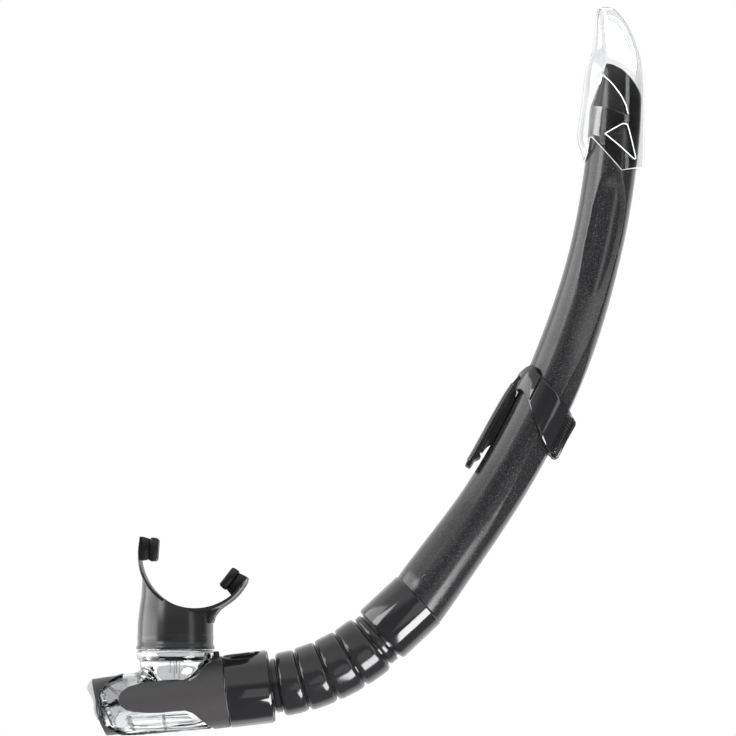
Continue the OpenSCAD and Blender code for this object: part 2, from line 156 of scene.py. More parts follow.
white = (1, 1, 1, 1)
room = bpy.data.worlds.new("room")
scene.world = room
air = Graph(room)
depth, height = air.parts(air.node("ShaderNodeTexCoord"))[1:]
# Gloss mirrors a ceiling that brightens towards the back, and a bright wall behind
ceiling = height.ramp(0.12, 0.4) * (depth.ramp(-0.4, 0.2) * 0.55 + 0.8) + 0.1
wall = depth.ramp(0.22, 0.55) * (1.5 - depth.ramp(0.93, 0.985) * 1.35)
# Light that the clear plastic bends comes from the wall, and darkens away from its middle
bent = depth.ramp(0.35, 0.97) * 0.95 + 0.05
in_view = air.node("ShaderNodeLightPath", output="Is Camera Ray")
through = air.node("ShaderNodeLightPath", output="Is Transmission Ray")
lit = air.mix(in_view, air.mix(through, ceiling.top(wall), bent), white)
lit = air.node("ShaderNodeBackground", inputs={"Color": lit, "Strength": 1.0})
air.node("ShaderNodeOutputWorld", inputs={"Surface": lit})


def finish(name, **constants):
    """A new material, its graph, and its shader, whose sockets hold the given constants."""
    material = bpy.data.materials.new(name)
    graph = Graph(material)
    sockets = {key.replace("_", " ").title().replace("Ior", "IOR"): value
               for key, value in constants.items()}
    surface = graph.node("ShaderNodeBsdfPrincipled", inputs=sockets)
    graph.node("ShaderNodeOutputMaterial", inputs={"Surface": surface})
    return material, graph, surface.socket.node


def feed(graph, shader, name, value):
    """Links a varying value to one of the shader's sockets."""
    graph.tree.links.new(value.socket, shader.inputs[name])


# The floor lies under the lowest place that the swung base and hose reach
floor_drop, floor_half = 130 * mm, 3
floor_z = cad_box[0][2] - floor_drop
sweep_white = finish("sweep_white", base_color=(0.9, 0.9, 0.9, 1), roughness=0.9,
                     emission_color=white, emission_strength=0.85)[0]
sweep = bmesh.new()
bmesh.ops.create_grid(sweep, x_segments=1, y_segments=1, size=floor_half)
bmesh.ops.translate(sweep, verts=sweep.verts, vec=(0, 0, floor_z))
sweep_mesh = bpy.data.meshes.new("sweep")
sweep.to_mesh(sweep_mesh)
sweep.free()
sweep_mesh.materials.append(sweep_white)
floor = bpy.data.objects.new("sweep", sweep_mesh)
floor.visible_glossy = floor.visible_shadow = False
scene.collection.objects.link(floor)


def soft_box(name, place, towards, width, length, power, run=(0, 0, 1)):
    """A rectangular lamp that faces a point, with its length along a direction, in m and W."""
    lamp = bpy.data.lights.new(name, "AREA")
    lamp.shape, lamp.size, lamp.size_y, lamp.energy = "RECTANGLE", width, length, power
    box = bpy.data.objects.new(name, lamp)
    box.location = place
    back = (Vector(place) - Vector(towards)).normalized()
    across = Vector(run).cross(back).normalized()
    box.rotation_euler = Matrix((across, back.cross(across), back)).transposed().to_euler()
    box.visible_camera = False
    scene.collection.objects.link(box)


barrel_middle, middle, lower_half = (0.03, 0, 0.1), (-0.05, 0, 0), (-0.05, 0, -0.1)
soft_box("left_box", (-1.5, -0.13, -0.14), (-0.05, -0.13, -0.14), 1.6, 0.6, 18)
soft_box("left_upper_box", (-1.5, -0.16, 0.56), (-0.05, -0.13, 0.2), 1.55, 0.8, 12)
soft_box("barrel_box", (-1.54, -1.34, 0.58), barrel_middle, 0.68, 0.62, 10)
soft_box("right_box", (1.1, -0.95, 0.1), middle, 0.35, 1.0, 2.4)
soft_box("front_box", (0.42, -1.75, -0.6), lower_half, 0.8, 0.8, 1.8)
# This one's length lies along the collar and hose, as a hard bright strip on their lower side
soft_box("low_box", (0.62, -0.69, -0.82), lower_half, 0.58, 0.62, 20, run=(0.73, 0, 0.68))

# ---- Barrel --------------------------------------------------------------------
# One moulded tube of satin charcoal plastic with a fine sparkle. Its centreline is an arc,
# two long soft facets are moulded into each side, and the foot widens to the hose joint.

joints = {joint["name"]: joint for joint in frame["joints"]}


def joint_at(name):
    """A joint's place."""
    return Vector(joints[name]["pos_m"])


arc_r = 398
arc_centre = joint_at("barrel_slide")
mm_per_degree = radians(1) * arc_r


def on_arc(angle):
    """z up the barrel and x outwards, at an angle in degrees down the barrel's arc."""
    return (Matrix.Translation(arc_centre) @ Matrix.Rotation(radians(angle), 4, "Y")
            @ Matrix.Translation((arc_r * mm, 0, 0)))


def along(table, x):
    """The value of a table of (x, value) pairs at x, on straight lines between them."""
    k = min(max(bisect_right([row[0] for row in table], x), 1), len(table) - 1)
    (x0, y0), (x1, y1) = table[k - 1], table[k]
    return y0 + (y1 - y0) * min(max((x - x0) / (x1 - x0), 0), 1)


def loft(bm, rings, close=False):
    """Skins rings of points: a circle is extruded from ring to ring. It gives both end loops."""
    row = bmesh.ops.create_circle(bm, segments=len(rings[0]), radius=1)["verts"]
    for vert, point in zip(row, rings[0]):
        vert.co = point
    first = edges = list({edge for vert in row for edge in vert.link_edges})
    for ring in rings[1:]:
        made = bmesh.ops.extrude_edge_only(bm, edges=edges)["geom"]
        fresh = {item for item in made if isinstance(item, bmesh.types.BMVert)}
        edges = [item for item in made if isinstance(item, bmesh.types.BMEdge)
                 and item.verts[0] in fresh and item.verts[1] in fresh]
        row = [next(edge.other_vert(vert) for edge in vert.link_edges
                    if edge.other_vert(vert) in fresh) for vert in row]
        for vert, point in zip(row, ring):
            vert.co = point
    if close:
        bmesh.ops.bridge_loops(bm, edges=first + edges)
    return first, edges


def new_piece(name, bm, material, body, slot, *nodes, crease=32):
    """Turns a finished bmesh into a piece that stands for CAD nodes and rides on a body."""
    bmesh.ops.remove_doubles(bm, verts=bm.verts, dist=1e-6)
    bmesh.ops.recalc_face_normals(bm, faces=bm.faces)
    for face in bm.faces:
        face.smooth = True
    for edge in bm.edges:
        edge.smooth = len(edge.link_faces) == 2 and edge.calc_face_angle(0) < radians(crease)
    mesh = bpy.data.meshes.new(name)
    bm.to_mesh(mesh)
    bm.free()
    mesh.materials.append(material)
    piece = bpy.data.objects.new(name, mesh)
    scene.collection.objects.link(piece)
    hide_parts(*nodes)
    if body:
        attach(piece, body)
    return piece


foot_from, foot_l, foot_r = 36, 40.5, 15.3
foot_to = foot_from + foot_l / mm_per_degree
foot_turn = on_arc(foot_from)
joint_point = foot_turn @ Vector((0, 0, -foot_l * mm))
collar_rise = 43
at_joint = Matrix.Translation(joint_point) @ Matrix.Rotation(radians(90 - collar_rise), 4, "Y")

# A station is a number of degrees down the arc, and each table has a value for a station
barrel_radius = [(-1, 12.95), (14, 12.95), (16, 13.15), (19, 13.5), (21, 13.7), (31, 13.75),
                 (34, 13.85), (36, 14.15), (foot_to, foot_r)]
# The two facets' edges in degrees round the barrel from its near side, positive outwards
panel_left = [(8, -10), (8.8, -22), (10.6, -30), (13.6, -29), (16.3, -19), (17.2, -12),
              (23.2, 4), (26.8, -7), (31.3, -17)]
panel_right = [(8, 24), (9.4, 50), (12, 57), (19.5, 48), (23.2, 31), (27.6, 18), (32.7, 28),
               (38, 47)]
wedge_right = [(19.5, 48), (21, 64), (23.2, 73), (27.6, 66), (32.7, 57), (38, 48)]
panel_flat = [(7.6, 0), (8.6, 0.8), (27, 0.85), (36, 0)]
wedge_flat = [(19.3, 0), (20.5, 0.95), (34, 0.95), (38.4, 0)]
# The mouth's edge: how high it is above the arc's level at x from the barrel's middle
mouth_edge = [(-13.6, -22.5), (-8.2, -7.5), (-5.6, 0.9), (-2.5, 0.2), (2, -2.2), (5.5, -5.2),
              (9, -9.4), (12, -14), (13.7, -17.5)]
mouth_to, mouth_rings, station_step = 5.5, 14, 0.25
lip_r, bore_r, around = 12.6, 11.5, 168


def fold(angle):
    """Degrees round the barrel from the middle of either side, positive outwards."""
    return 90 - angle if angle <= 180 else angle - 270


def chord(angle, left, right, flatness):
    """How much of the radius a facet between two edges takes away at an angle."""
    middle, half = (left + right) / 2, (right - left) / 2
    if half < 0.5 or abs(angle - middle) >= half:
        return 0
    return flatness * (1 - cos(radians(half)) / cos(radians(angle - middle)))


def barrel_ring(station, radius=None, share=None):
    """A ring of the barrel, or one that is a share of the way to it from the mouth's edge."""
    points = []
    for k in range(around):
        angle = 360 * k / around
        r = radius or along(barrel_radius, station)
        at = station
        if share is not None:
            x = r * cos(radians(angle))
            edge = degrees(asin(-along(mouth_edge, x) / (arc_r + x)))
            at = edge + (station - edge) * share
        if radius is None:
            swing = fold(angle)
            r *= 1 - max(chord(swing, along(panel_left, at), along(panel_right, at),
                               along(panel_flat, at)),
                         chord(swing, along(panel_right, at), along(wedge_right, at),
                               along(wedge_flat, at)))
        spot = Vector((r * mm * cos(radians(angle)), r * mm * sin(radians(angle)), 0))
        if at <= foot_from:
            points.append(on_arc(at) @ spot)
        else:
            down = (at - foot_from) * mm_per_degree * mm
            points.append(foot_turn @ (spot - Vector((0, 0, down))))
    return points


def disc_ring(place, radius, count=around, rise=0):
    """A round ring in a placed plane, raised along its z."""
    turns = [2 * pi * k / count for k in range(count)]
    return [place @ Vector((radius * mm * cos(turn), radius * mm * sin(turn), rise * mm))
            for turn in turns]


# Down the outside from the mouth's lip, round the spigot under the foot, and up the bore
stations = int((foot_to - 0.9 - mouth_to) / station_step)
spigot_r, spigot_in_r, spigot_l = 12.5, 10.9, 19
rings = [barrel_ring(mouth_to, lip_r, 0)]
rings += [barrel_ring(mouth_to, share=0.02 + t * 0.98 / mouth_rings) for t in range(mouth_rings + 1)]
rings += [barrel_ring(mouth_to + k * station_step) for k in range(1, stations)]
rings += [disc_ring(at_joint, radius, rise=rise) for radius, rise in (
    (foot_r, 0.5), (foot_r - 0.3, 0), (spigot_r, 0), (spigot_r, -spigot_l),
    (spigot_in_r, -spigot_l), (spigot_in_r, 2))]
rings += [barrel_ring(station, bore_r) for station in range(38, 8, -2)]
rings += [barrel_ring(mouth_to, bore_r, t / 4) for t in range(4, -1, -1)]
tube = bmesh.new()
loft(tube, rings, close=True)

charcoal, graph, shader = finish("satin_charcoal", specular_ior_level=0.5, coat_roughness=0.25)
place = graph.node("ShaderNodeTexCoord", output=3)
grain = graph.node("ShaderNodeTexNoise", inputs={"Vector": place, "Scale": 3200, "Detail": 1.0})
cloud = graph.node("ShaderNodeTexNoise", inputs={"Vector": place, "Scale": 60, "Detail": 3.0})
ground, sparkle = (0.009, 0.0086, 0.0093, 1), (0.11, 0.107, 0.114, 1)
feed(graph, shader, "Base Color", graph.mix(grain.ramp(0.6, 0.78), ground, sparkle))
feed(graph, shader, "Roughness", 0.2 + cloud * 0.06)
feed(graph, shader, "Normal", graph.node("ShaderNodeBump", inputs={
    "Strength": 0.12, "Distance": 0.00005, "Height": grain}))

# A small raised ring on each side of the foot lines the barrel up with the hose
mark_r, mark_wire, mark_x, mark_out, mark_down = 2.4, 0.2, -2.6, 14.78, 30
for away in (-1, 1):
    plain = set(tube.verts)
    mark = bmesh.ops.create_circle(tube, segments=8, radius=mark_wire * mm)["verts"]
    bmesh.ops.rotate(tube, verts=mark, cent=(0, 0, 0), matrix=Matrix.Rotation(pi / 2, 3, "X"))
    bmesh.ops.translate(tube, verts=mark, vec=(mark_r * mm, 0, 0))
    loop = list({edge for vert in mark for edge in vert.link_edges})
    bmesh.ops.spin(tube, geom=mark + loop, cent=(0, 0, 0), axis=(0, 0, 1), angle=2 * pi, steps=28,
                   use_merge=True)
    ring = [vert for vert in tube.verts if vert not in plain]
    spot = foot_turn @ Matrix.Translation(Vector((mark_x, mark_out * away, -mark_down)) * mm)
    bmesh.ops.transform(tube, verts=ring, matrix=spot @ Matrix.Rotation(pi / 2, 4, "X"))
new_piece("barrel_tube", tube, charcoal, "tube", "barrel_plastic", "barrel")

# ---- Splash guard --------------------------------------------------------------
# A clear polycarbonate hood with a polished face. It is moulded in one with its flared
# skirt, slips over the barrel's mouth, and has the same openings on both sides.

at_top = on_arc(0)
guard_wall, guard_around = 1.3, 96
# Height, left, right and half depth of the hood from its skirt to its tip, in the top's plane
guard_shape = [(-54, -15.6, 13.4, 14.7), (-47.5, -16.2, 13.7, 14.9), (-43, -17.4, 13.9, 15),
               (-38.5, -18.9, 14, 15.1), (-34, -19.7, 14.1, 15.1), (-30, -19.3, 14.2, 15.1),
               (-20.5, -17.9, 14.4, 15.1), (-12, -16.7, 14.45, 14.9), (-3.8, -15.9, 14.2, 14.5),
               (3, -14.4, 13.5, 13.6), (7.7, -12.4, 12.5, 12.6), (13, -11.5, 10.7, 11.2),
               (18, -10.8, 8.7, 9.6), (23, -10.4, 6.2, 7.4), (27, -10, 3.3, 5.2), (29.8, -9.2, 0.6, 3.4),
               (31.3, -7.6, -1.6, 1.8), (31.9, -5.6, -3.4, 0.7)]


def curve_through(rows, steps):
    """Points on a smooth curve through rows of numbers."""
    out = []
    for k in range(len(rows) - 1):
        a, b, c, d = rows[max(k - 1, 0)], rows[k], rows[k + 1], rows[min(k + 2, len(rows) - 1)]
        for i in range(steps):
            t = i / steps
            out.append([0.5 * (2 * q + (r - p) * t + (2 * p - 5 * q + 4 * r - s) * t * t
                               + (3 * q - p - 3 * r + s) * t ** 3) for p, q, r, s in zip(a, b, c, d)])
    return out + [list(rows[-1])]


def hood_ring(row, inset):
    """An oval ring of the hood, set in from its skin."""
    z, left, right, deep = row
    wide, deep = max((right - left) / 2 - inset, 0.05), max(deep - inset, 0.05)
    turns = [2 * pi * k / guard_around for k in range(guard_around)]
    return [at_top @ (Vector(((left + right) / 2 + wide * cos(turn), deep * sin(turn), z)) * mm)
            for turn in turns]


def prism(points, place, deep):
    """A flat outline in a placed XZ plane, made a solid bar that runs deep each way across it."""
    bm = bmesh.new()
    face = bm.faces.new([bm.verts.new(place @ (Vector((x, -deep, z)) * mm)) for x, z in points])
    grown = bmesh.ops.extrude_face_region(bm, geom=[face])["geom"]
    across = place.to_3x3() @ Vector((0, 2 * deep * mm, 0))
    far_side = [item for item in grown if isinstance(item, bmesh.types.BMVert)]
    bmesh.ops.translate(bm, vec=across, verts=far_side)
    bmesh.ops.recalc_face_normals(bm, faces=bm.faces)
    return bm


def blank(bm):
    """A plain object for a modifier to work on."""
    mesh = bpy.data.meshes.new("blank")
    bm.to_mesh(mesh)
    made = bpy.data.objects.new("blank", mesh)
    scene.collection.objects.link(made)
    return made


def worked(bm, *blanks):
    """Puts what the first blank's modifiers make back into the bmesh, and clears up."""
    evaluated = blanks[0].evaluated_get(bpy.context.evaluated_depsgraph_get())
    bm.clear()
    bm.from_mesh(evaluated.to_mesh())
    evaluated.to_mesh_clear()
    for item in blanks:
        mesh = item.data
        bpy.data.objects.remove(item)
        bpy.data.meshes.remove(mesh)


cut_marks = [bpy.data.materials.new("body_mark"), bpy.data.materials.new("edge_mark")]


def cut(bm, cutter, operation="DIFFERENCE", mark=None):
    """A boolean with a cutter. With a mark, the faces it cuts take that material number."""
    if mark is not None:
        for face in bm.faces:
            face.material_index = 0
        for face in cutter.faces:
            face.material_index = mark
    first, second = blank(bm), blank(cutter)
    kinds = cut_marks[:1 if mark is None else 2]
    for item in (first, second):
        for kind in kinds:
            item.data.materials.append(kind)
    tool = first.modifiers.new("cut", "BOOLEAN")
    tool.operation, tool.object, tool.solver = operation, second, "EXACT"
    worked(bm, first, second)
    cutter.free()


def joined(*parts):
    """Several bmeshes as one."""
    whole = bmesh.new()
    for part in parts:
        mesh = bpy.data.meshes.new("part")
        part.to_mesh(mesh)
        part.free()
        whole.from_mesh(mesh)
        bpy.data.meshes.remove(mesh)
    return whole


rows = curve_through(guard_shape, 5)
# The hood is hollow up to this height, and its openings are cut through both sides
inner_top = 30
inner_rings = [hood_ring(row, guard_wall) for row in reversed(rows) if row[0] < inner_top]
hood = bmesh.new()
ends = loft(hood, inner_rings + [hood_ring(row, 0) for row in rows])
for end in ends:
    bmesh.ops.edgenet_fill(hood, edges=end)
bmesh.ops.recalc_face_normals(hood, faces=hood.faces)
hood_opening = [(-6, 26), (-3.7, 26.4), (0.8, 24.6), (4.2, 19.9), (7.2, 13), (9.1, 6.9), (9.6, -0.7),
                (8.9, -4.2), (6.9, -2.3), (3.9, 0.1), (-0.7, 2.4), (-4.6, 4), (-5.4, 10), (-6.2, 19)]
vent = [(-12, -20.6), (-9.6, -12), (-7.6, -5.2), (-4.8, -7.7), (-2.2, -10.7), (1.6, -16),
        (3.9, -20.6), (5.1, -25.7), (2.4, -24.6), (-0.7, -23.3), (-6, -21.4)]
drain = [(-6.8, -34.9), (-2.2, -32.3), (2.4, -29.7), (4.4, -30.2), (5, -31.4), (7, -39),
         (8.8, -46.6), (8.2, -47.3), (7.2, -46.8), (0.5, -41)]
skirt = [(-30, -48.4), (-16.6, -48.6), (-15.2, -44.5), (-14.2, -37.5), (-13.7, -36), (-12.9, -36.4),
         (1.6, -53.2), (10.5, -51.2), (30, -47), (30, -70), (-30, -70)]
# The faces that each cut leaves round the openings take the second material, a painted highlight.
for outline in (hood_opening, vent, drain, skirt):
    cut(hood, prism(outline, at_top, 25), mark=1)


def on_hood(x, z, away):
    """A point on the hood's skin at x and z, on the near side for away -1."""
    row = [along([(r[0], r[n]) for r in guard_shape], z) for n in range(4)]
    share = (x - (row[1] + row[2]) / 2) / ((row[2] - row[1]) / 2)
    return Vector((x, away * row[3] * max(1 - share * share, 0.02) ** 0.5, z))


def bead(points, away, radius, closed=True):
    """A thin round bead along a line of points on the hood, closed or with two ends."""
    steps, sides = 6, 8
    line = [on_hood(x + (x2 - x) * t / steps, z + (z2 - z) * t / steps, away)
            for (x, z), (x2, z2) in zip(points, points[1:] + points[:closed]) for t in range(steps)]
    last = len(line) - 1
    turns = [2 * pi * k / sides for k in range(sides)]
    rings = []
    for n, spot in enumerate(line):
        if closed:
            ahead = line[(n + 1) % len(line)] - line[n - 1]
        else:
            ahead = line[min(n + 1, last)] - line[max(n - 1, 0)]
        ahead.normalize()
        across = ahead.cross(Vector((0, away, 0))).normalized()
        out = across.cross(ahead)
        rings.append([at_top @ ((spot + radius * (across * cos(turn) + out * sin(turn))) * mm)
                      for turn in turns])
    bm = bmesh.new()
    ends = loft(bm, rings, close=closed)
    if not closed:
        for end in ends:
            bmesh.ops.edgenet_fill(bm, edges=end)
    # The beads take the second material, a painted highlight.
    for face in bm.faces:
        face.material_index = 1
    return bm


# The vent's upper edges, the drain and the opening have a bead, of this radius
edge_beads = ((vent[2:8], 0.24, False), (drain, 0.22, True), (hood_opening, 0.16, True))
beads = [bead(line, away, radius, closed) for away in (-1, 1) for line, radius, closed in edge_beads]
clear_plastic = finish("clear_polycarbonate", base_color=(0.9, 0.905, 0.91, 1),
                       transmission_weight=1.0, ior=1.5, roughness=0.04)[0]
# The cut edges of the openings and the beads take this whitish material that glows a little: a painted
# highlight where the clear plastic's edges catch the light.
painted_edge_highlight = finish("cut_edge_painted_highlight", base_color=(0.95, 0.96, 0.96, 1), roughness=0.35,
                      emission_color=white, emission_strength=0.12)[0]
guard = new_piece("hood", joined(hood, *beads), clear_plastic, "tube", "clear_plastic",
                  "splash_guard", crease=25)
guard.data.materials.append(painted_edge_highlight)

# ---- Keeper ring ---------------------------------------------------------------
# A glossy band of dark plastic moulded to slide on the barrel, cut off on the slant at both
# ends. A ribbed pad to push is on its outer side, and cheeks for the clip's pin on its inner.

keeper_at = 25.6
at_keeper = on_arc(keeper_at)
keeper_in, keeper_out, keeper_around = 14.25, 16, 144
keeper_top = [(-17, 13), (-13.4, 17.6), (17.4, 3.3)]
keeper_bottom = [(-16.2, 4.6), (-12, 4.0), (-9.9, 2.4), (-1.5, -6), (6.2, -12.8), (14.2, -17.8),
                 (17, -19)]


def band_ring(radius, share, lip=0):
    """A ring of the slanted band, from its lower edge at share 0 to its upper edge at 1."""
    points = []
    for k in range(keeper_around):
        angle = 2 * pi * k / keeper_around
        x = radius * cos(angle)
        low, high = along(keeper_bottom, x), along(keeper_top, x)
        z = low + (high - low) * share + (lip if share < 0.5 else -lip)
        place = on_arc(keeper_at - z / mm_per_degree)
        points.append(place @ (Vector((x, radius * sin(angle), 0)) * mm))
    return points


lips = [(keeper_in, 0.3), (keeper_in + 0.4, 0), (keeper_out - 0.5, 0), (keeper_out - 0.12, 0.15),
        (keeper_out, 0.5)]
band = bmesh.new()
rings = [band_ring(r, 0, lip) for r, lip in lips]
rings += [band_ring(keeper_out, t / 12) for t in range(1, 12)]
rings += [band_ring(r, 1, lip) for r, lip in reversed(lips)]
rings += [band_ring(keeper_in, t / 6) for t in range(5, 0, -1)]
loft(band, rings, close=True)


def lathe(profile, place, steps=96, closed=True):
    """Spins (x, radius) points round the placed x axis."""
    bm = bmesh.new()
    verts = [bm.verts.new((x * mm, 0, r * mm)) for x, r in profile]
    edges = [bm.edges.new(pair) for pair in zip(verts, verts[1:] + verts[:closed])]
    bmesh.ops.spin(bm, geom=verts + edges, cent=(0, 0, 0), axis=(1, 0, 0), angle=2 * pi, steps=steps,
                   use_merge=True)
    bmesh.ops.remove_doubles(bm, verts=bm.verts, dist=1e-6)
    bmesh.ops.transform(bm, matrix=place, verts=bm.verts)
    bmesh.ops.recalc_face_normals(bm, faces=bm.faces)
    return bm


def softened(bm, width, steps=2, angle=40):
    """Rounds every edge sharper than an angle."""
    sharp = [edge for edge in bm.edges
             if len(edge.link_faces) == 2 and edge.calc_face_angle(0) > radians(angle)]
    bmesh.ops.bevel(bm, geom=sharp, offset=width * mm, offset_type="OFFSET", segments=steps,
                    profile=0.5, affect="EDGES", material=-1, clamp_overlap=True)
    return bm


def block(left, right, low, high, place, deep):
    """A square-cornered bar in a placed XZ plane."""
    return prism([(left, low), (right, low), (right, high), (left, high)], place, deep)


def arc(x, z, radius, start, end, step):
    """Points on an arc round x and z, from angle to angle in degrees."""
    turns = [radians(start + step * k) for k in range(round((end - start) / step) + 1)]
    return [(x + radius * cos(turn), z + radius * sin(turn)) for turn in turns]


rib_pitch = 1.45


def rib_rows(left, right, half, count, top, out, deep, round_off):
    """Two rows of ribs down the pad, one on each side of its middle."""
    middles = [top - rib_pitch * k for k in range(count)]
    return [softened(block(left, right, z - half, z + half,
                           at_keeper @ Matrix.Translation((0, away * out * mm, 0)), deep), round_off, 1)
            for z in middles for away in (-1, 1)]


pad = softened(prism([(14.4, 3.6), (16.6, 3.3), (18.9, 1.6), (19.4, 0), (18.8, -8), (18.5, -18),
                      (17.6, -19.3), (15.8, -19.4), (13.8, -18.2)], at_keeper, 5.6), 1.1, 3)
foot = softened(prism([(12.4, 3.5), (16.4, 3.2), (16.4, -17.9), (12.4, -16.7)], at_keeper, 8.9),
                1.6, 3)
ribs = rib_rows(12.6, 16.3, 0.45, 13, 1.6, 8.5, 0.8, 0.22)
ribs += rib_rows(14.2, 16.9, 0.5, 14, 2, 5.2, 1.5, 0.25)
# The cheeks are the part of a wider band that lies within their outline
along_keeper = at_keeper @ Matrix.Rotation(-pi / 2, 4, "Y")
saddle = lathe([(-4, 14.4), (-4, 17.3), (24, 17.3), (24, 14.4)], along_keeper, 128)
cheek = [(-7.3, 1.2), (-7, 13.2), (-11.7, 17.2), (-13.2, 17.7), (-14.2, 16.9), (-15.5, 15.4),
         (-17, 12.8), (-17.8, 9.6), (-17.6, 5), (-16.8, 1.6), (-15.8, 3.2), (-14.3, 4.1),
         (-12.5, 4.4), (-10.5, 3.5), (-8.9, 2.4)]
cut(saddle, prism(cheek, at_keeper, 20), "INTERSECT")
softened(saddle, 0.3, 2, 50)
pin = prism(arc(-15.7, 9, 0.7, 0, 337.5, 22.5), at_keeper, 7.7)
# The clip's eye sits in a gap between the cheeks
cut(band, block(-30, -12.9, 3, 10.6, at_keeper, 6.35))

gloss_dark, graph, shader = finish("gloss_dark_plastic", base_color=(0.0095, 0.009, 0.0098, 1),
                                   roughness=0.09, specular_ior_level=0.6)
place = graph.node("ShaderNodeTexCoord", output=3)
ripple = graph.node("ShaderNodeTexNoise", inputs={"Vector": place, "Scale": 130, "Detail": 1.0})
feed(graph, shader, "Normal", graph.node("ShaderNodeBump", inputs={
    "Strength": 0.08, "Distance": 0.0006, "Height": ripple}))
new_piece("keeper_band", joined(band, pad, foot, *ribs, saddle, pin), gloss_dark, "keeper",
          "gloss_plastic", "keeper_ring")

# ---- Strap clip ----------------------------------------------------------------
# A bowed arm of the same plastic, sprung on a pin in the ring's cheeks. The mask strap runs
# behind it, over its barb. Fine teeth run down its back, and a thin web lines its inner side.

arm_outer = [(-17, 10.6), (-18.4, 5), (-19.1, 0), (-19.6, -5), (-20.3, -15), (-20.8, -24),
             (-21.4, -34), (-22, -40.6)]
arm_inner = [(-21.3, -41.5), (-19.3, -41.8), (-18.7, -41.2), (-18.3, -37.4), (-16.5, -35.2),
             (-16.4, -34.6), (-17.9, -32.4), (-17.6, -24), (-17.2, -16), (-16.6, -4), (-15.6, 3),
             (-14.3, 8.4), (-14.9, 10.3), (-16, 10.8)]
arm = softened(prism(arm_outer + arm_inner, at_keeper, 6), 1.15, 3)
back = sorted((z, x) for x, z in arm_outer)
teeth, tooth_top, tooth_pitch, tooth_half = 34, 5, 1.3, 0.38
arm_teeth = []
for k in range(teeth):
    z = tooth_top - tooth_pitch * k
    for away in (-1, 1):
        edge = at_keeper @ Matrix.Translation(Vector((along(back, z) + 0.5, away * 5.5, z)) * mm)
        arm_teeth.append(block(-0.28, 0.3, -tooth_half, tooth_half,
                               edge @ Matrix.Rotation(radians(-45 * away), 4, "Z"), 1.1))
web = softened(prism([(-17, 3), (-15.6, 3.4), (-13.95, 2.2), (-13.97, -6), (-14.28, -16),
                      (-15.05, -26.2), (-16.2, -29.6), (-16.6, -32), (-18.4, -32), (-17.8, -14)],
                     at_keeper, 4.6), 0.3)
flank = [(-16, 2), (-13.45, 0), (-13.4, -6), (-13.75, -16), (-14.5, -26.2), (-16.2, -28.6)]
flanks = [softened(prism(flank, at_keeper @ Matrix.Translation((0, away * 4.4 * mm, 0)), 0.3), 0.1, 1)
          for away in (-1, 1)]
new_piece("clip_arm", joined(arm, web, *flanks, *arm_teeth), gloss_dark, "clip", "gloss_plastic",
          "strap_clip")

# ---- Hose collar ---------------------------------------------------------------
# A glossy turned-looking sleeve of dark plastic. It is moulded to lock on the barrel's
# spigot and to hold the upper sleeve of the hose.

from_joint = at_joint @ Matrix.Rotation(pi / 2, 4, "Y")
collar_l, collar_r, collar_in_r, hose_hold_r = 25.3, 15.75, spigot_r + 0.1, 14.3
collar = lathe([(0.05, collar_in_r), (0.05, collar_r - 0.35), (0.4, collar_r),
                (collar_l - 1.2, collar_r + 0.05), (collar_l - 0.4, collar_r - 0.25),
                (collar_l, collar_r - 1), (collar_l, hose_hold_r), (3.2, hose_hold_r),
                (3.2, collar_in_r)], from_joint)
new_piece("joint_collar", collar, gloss_dark, "tube", "gloss_plastic", "hose_collar")

# ---- Hose ----------------------------------------------------------------------
# A ribbed hose of dark rubber with a smooth bore. Each rib has a round lower shoulder and a
# longer upper one, and plain sleeves at its ends are held in the collar and the cuff.

hose_r, base_rise = 97.6, 7
hose_turn = radians(collar_rise - base_rise)
hose_l = hose_turn * hose_r
rise = radians(collar_rise)
hose_top = joint_point - collar_l * mm * Vector((cos(rise), 0, sin(rise)))
hose_centre = hose_top + hose_r * mm * Vector((-sin(rise), 0, cos(rise)))
# Distance from the cuff and radius, over the sleeves and the four ribs
hose_profile = [(-5, 14.1), (0.2, 14.1), (0.6, 12.6), (1.2, 12.6), (1.5, 13.4), (3.6, 13.4),
                (3.9, 12.6), (4.3, 12.6)]
hose_ribs = ((4.4, 15.4, 15.7), (15.8, 28.2, 15.9), (28.6, 41.6, 15.9), (42, 54.7, 15.8))
for start, end, radius in hose_ribs:
    hose_profile += [(start, 13.9), (start + 0.2, 14.7), (start + 0.7, radius - 0.4),
                     (start + 1.6, radius - 0.05), (start + 3, radius), (end - 4, radius),
                     (end - 2, radius - 0.1), (end - 0.9, radius - 0.5), (end - 0.3, radius - 1.1),
                     (end, 13.9)]
hose_profile += [(55, 12.9), (55.7, 12.9), (56, 14), (56.3, 14.2), (59.2, 14.2), (59.6, 13.9),
                 (59.9, 12.8), (60.9, 12.8), (61.2, 14.1), (67, 14.1)]
hose_bore, hose_around = 10.6, 96


def on_hose(s):
    """z along the hose towards the barrel, at a distance from the cuff."""
    bend = min(max(s, 0), hose_l)
    rise = radians(base_rise) + bend / hose_r
    spot = hose_centre + hose_r * mm * Vector((sin(rise), 0, -cos(rise)))
    return (Matrix.Translation(spot) @ Matrix.Rotation(pi / 2 - rise, 4, "Y")
            @ Matrix.Translation((0, 0, (s - bend) * mm)))


# Along the outside from the cuff to the collar, and back along the smooth bore
bore_stops = (67, 61, 50, 40, 30, 20, 10, 0, -5)
rings = [disc_ring(on_hose(s), r, hose_around) for s, r in hose_profile]
rings += [disc_ring(on_hose(s), hose_bore, hose_around) for s in bore_stops]
hose = bmesh.new()
loft(hose, rings, close=True)
hose_rubber = finish("gloss_rubber", base_color=(0.0115, 0.011, 0.0118, 1), roughness=0.14,
                     specular_ior_level=0.5)[0]
ribbed = new_piece("ribbed_hose", hose, hose_rubber, None, "hose_rubber", "hose", crease=50)
on_hose(hose_l).translation
on_hose(0).translation
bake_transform(ribbed)

# ---- Hose cuff -----------------------------------------------------------------
# The larger glossy sleeve at the hose's lower end, with a thumb recess on each side of its
# top. The clear base snaps into it and turns.

